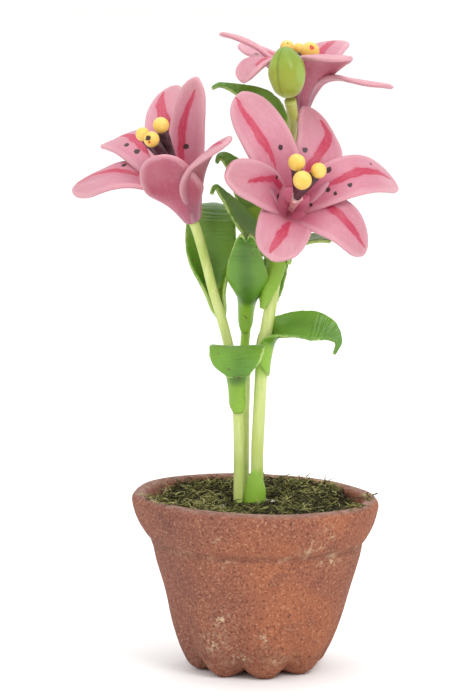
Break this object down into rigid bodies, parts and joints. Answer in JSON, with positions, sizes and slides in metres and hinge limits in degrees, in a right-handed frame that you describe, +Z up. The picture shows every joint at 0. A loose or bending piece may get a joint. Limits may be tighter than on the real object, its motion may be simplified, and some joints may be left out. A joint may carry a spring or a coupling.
{
  "type": "potted lily",
  "caption": "Handmade clay miniature of a potted pink lily: open blooms and a bud on slim green stems with clasping leaves, in moss in a lobed terracotta pot.",
  "frame": {"origin": "centre of the pot's flat foot, on the pot's axis, at floor level", "axes": "+Z up along the pot's axis; -Y is the front, the side that the picture shows; +X is to the viewer's right"},
  "size_m": [0.0369, 0.0297, 0.0715],
  "materials": {
    "terracotta": "matt, gritty fired red clay",
    "soil": "dark brown fill",
    "moss": "dried fibrous moss, glued down",
    "stem": "satin yellow-green clay",
    "leaf": "glossy mid-green clay",
    "bud": "satin yellow-green clay",
    "petal": "translucent pink air-dry clay with painted streaks and dots",
    "anther": "satin yellow clay ball",
    "filament": "dark purple-brown paint",
    "pistil": "pale pink clay"
  },
  "bodies": {
    "root": {"pot": "terracotta", "soil": "soil", "moss": "moss", "left_stem": "stem", "middle_stem": "stem", "right_stem": "stem", "leaf_left_large": "leaf", "leaf_left_front": "leaf", "leaf_middle": "leaf", "leaf_right_upper": "leaf", "leaf_right_large": "leaf", "leaf_top": "leaf", "leaf_behind": "leaf", "leaf_right_left": "leaf", "leaf_right_small": "leaf", "front_bloom": "petal", "front_filaments": "filament", "front_anther_1": "anther", "front_anther_2": "anther", "front_anther_3": "anther", "front_pistil": "pistil", "left_bloom": "petal", "left_filaments": "filament", "left_anther_1": "anther", "left_anther_2": "anther", "left_anther_3": "anther", "left_pistil": "pistil", "top_bloom": "petal", "top_filaments": "filament", "top_anther_1": "anther", "top_anther_2": "anther", "top_anther_3": "anther", "top_pistil": "pistil", "bud": "bud"}
  },
  "joints": []
}
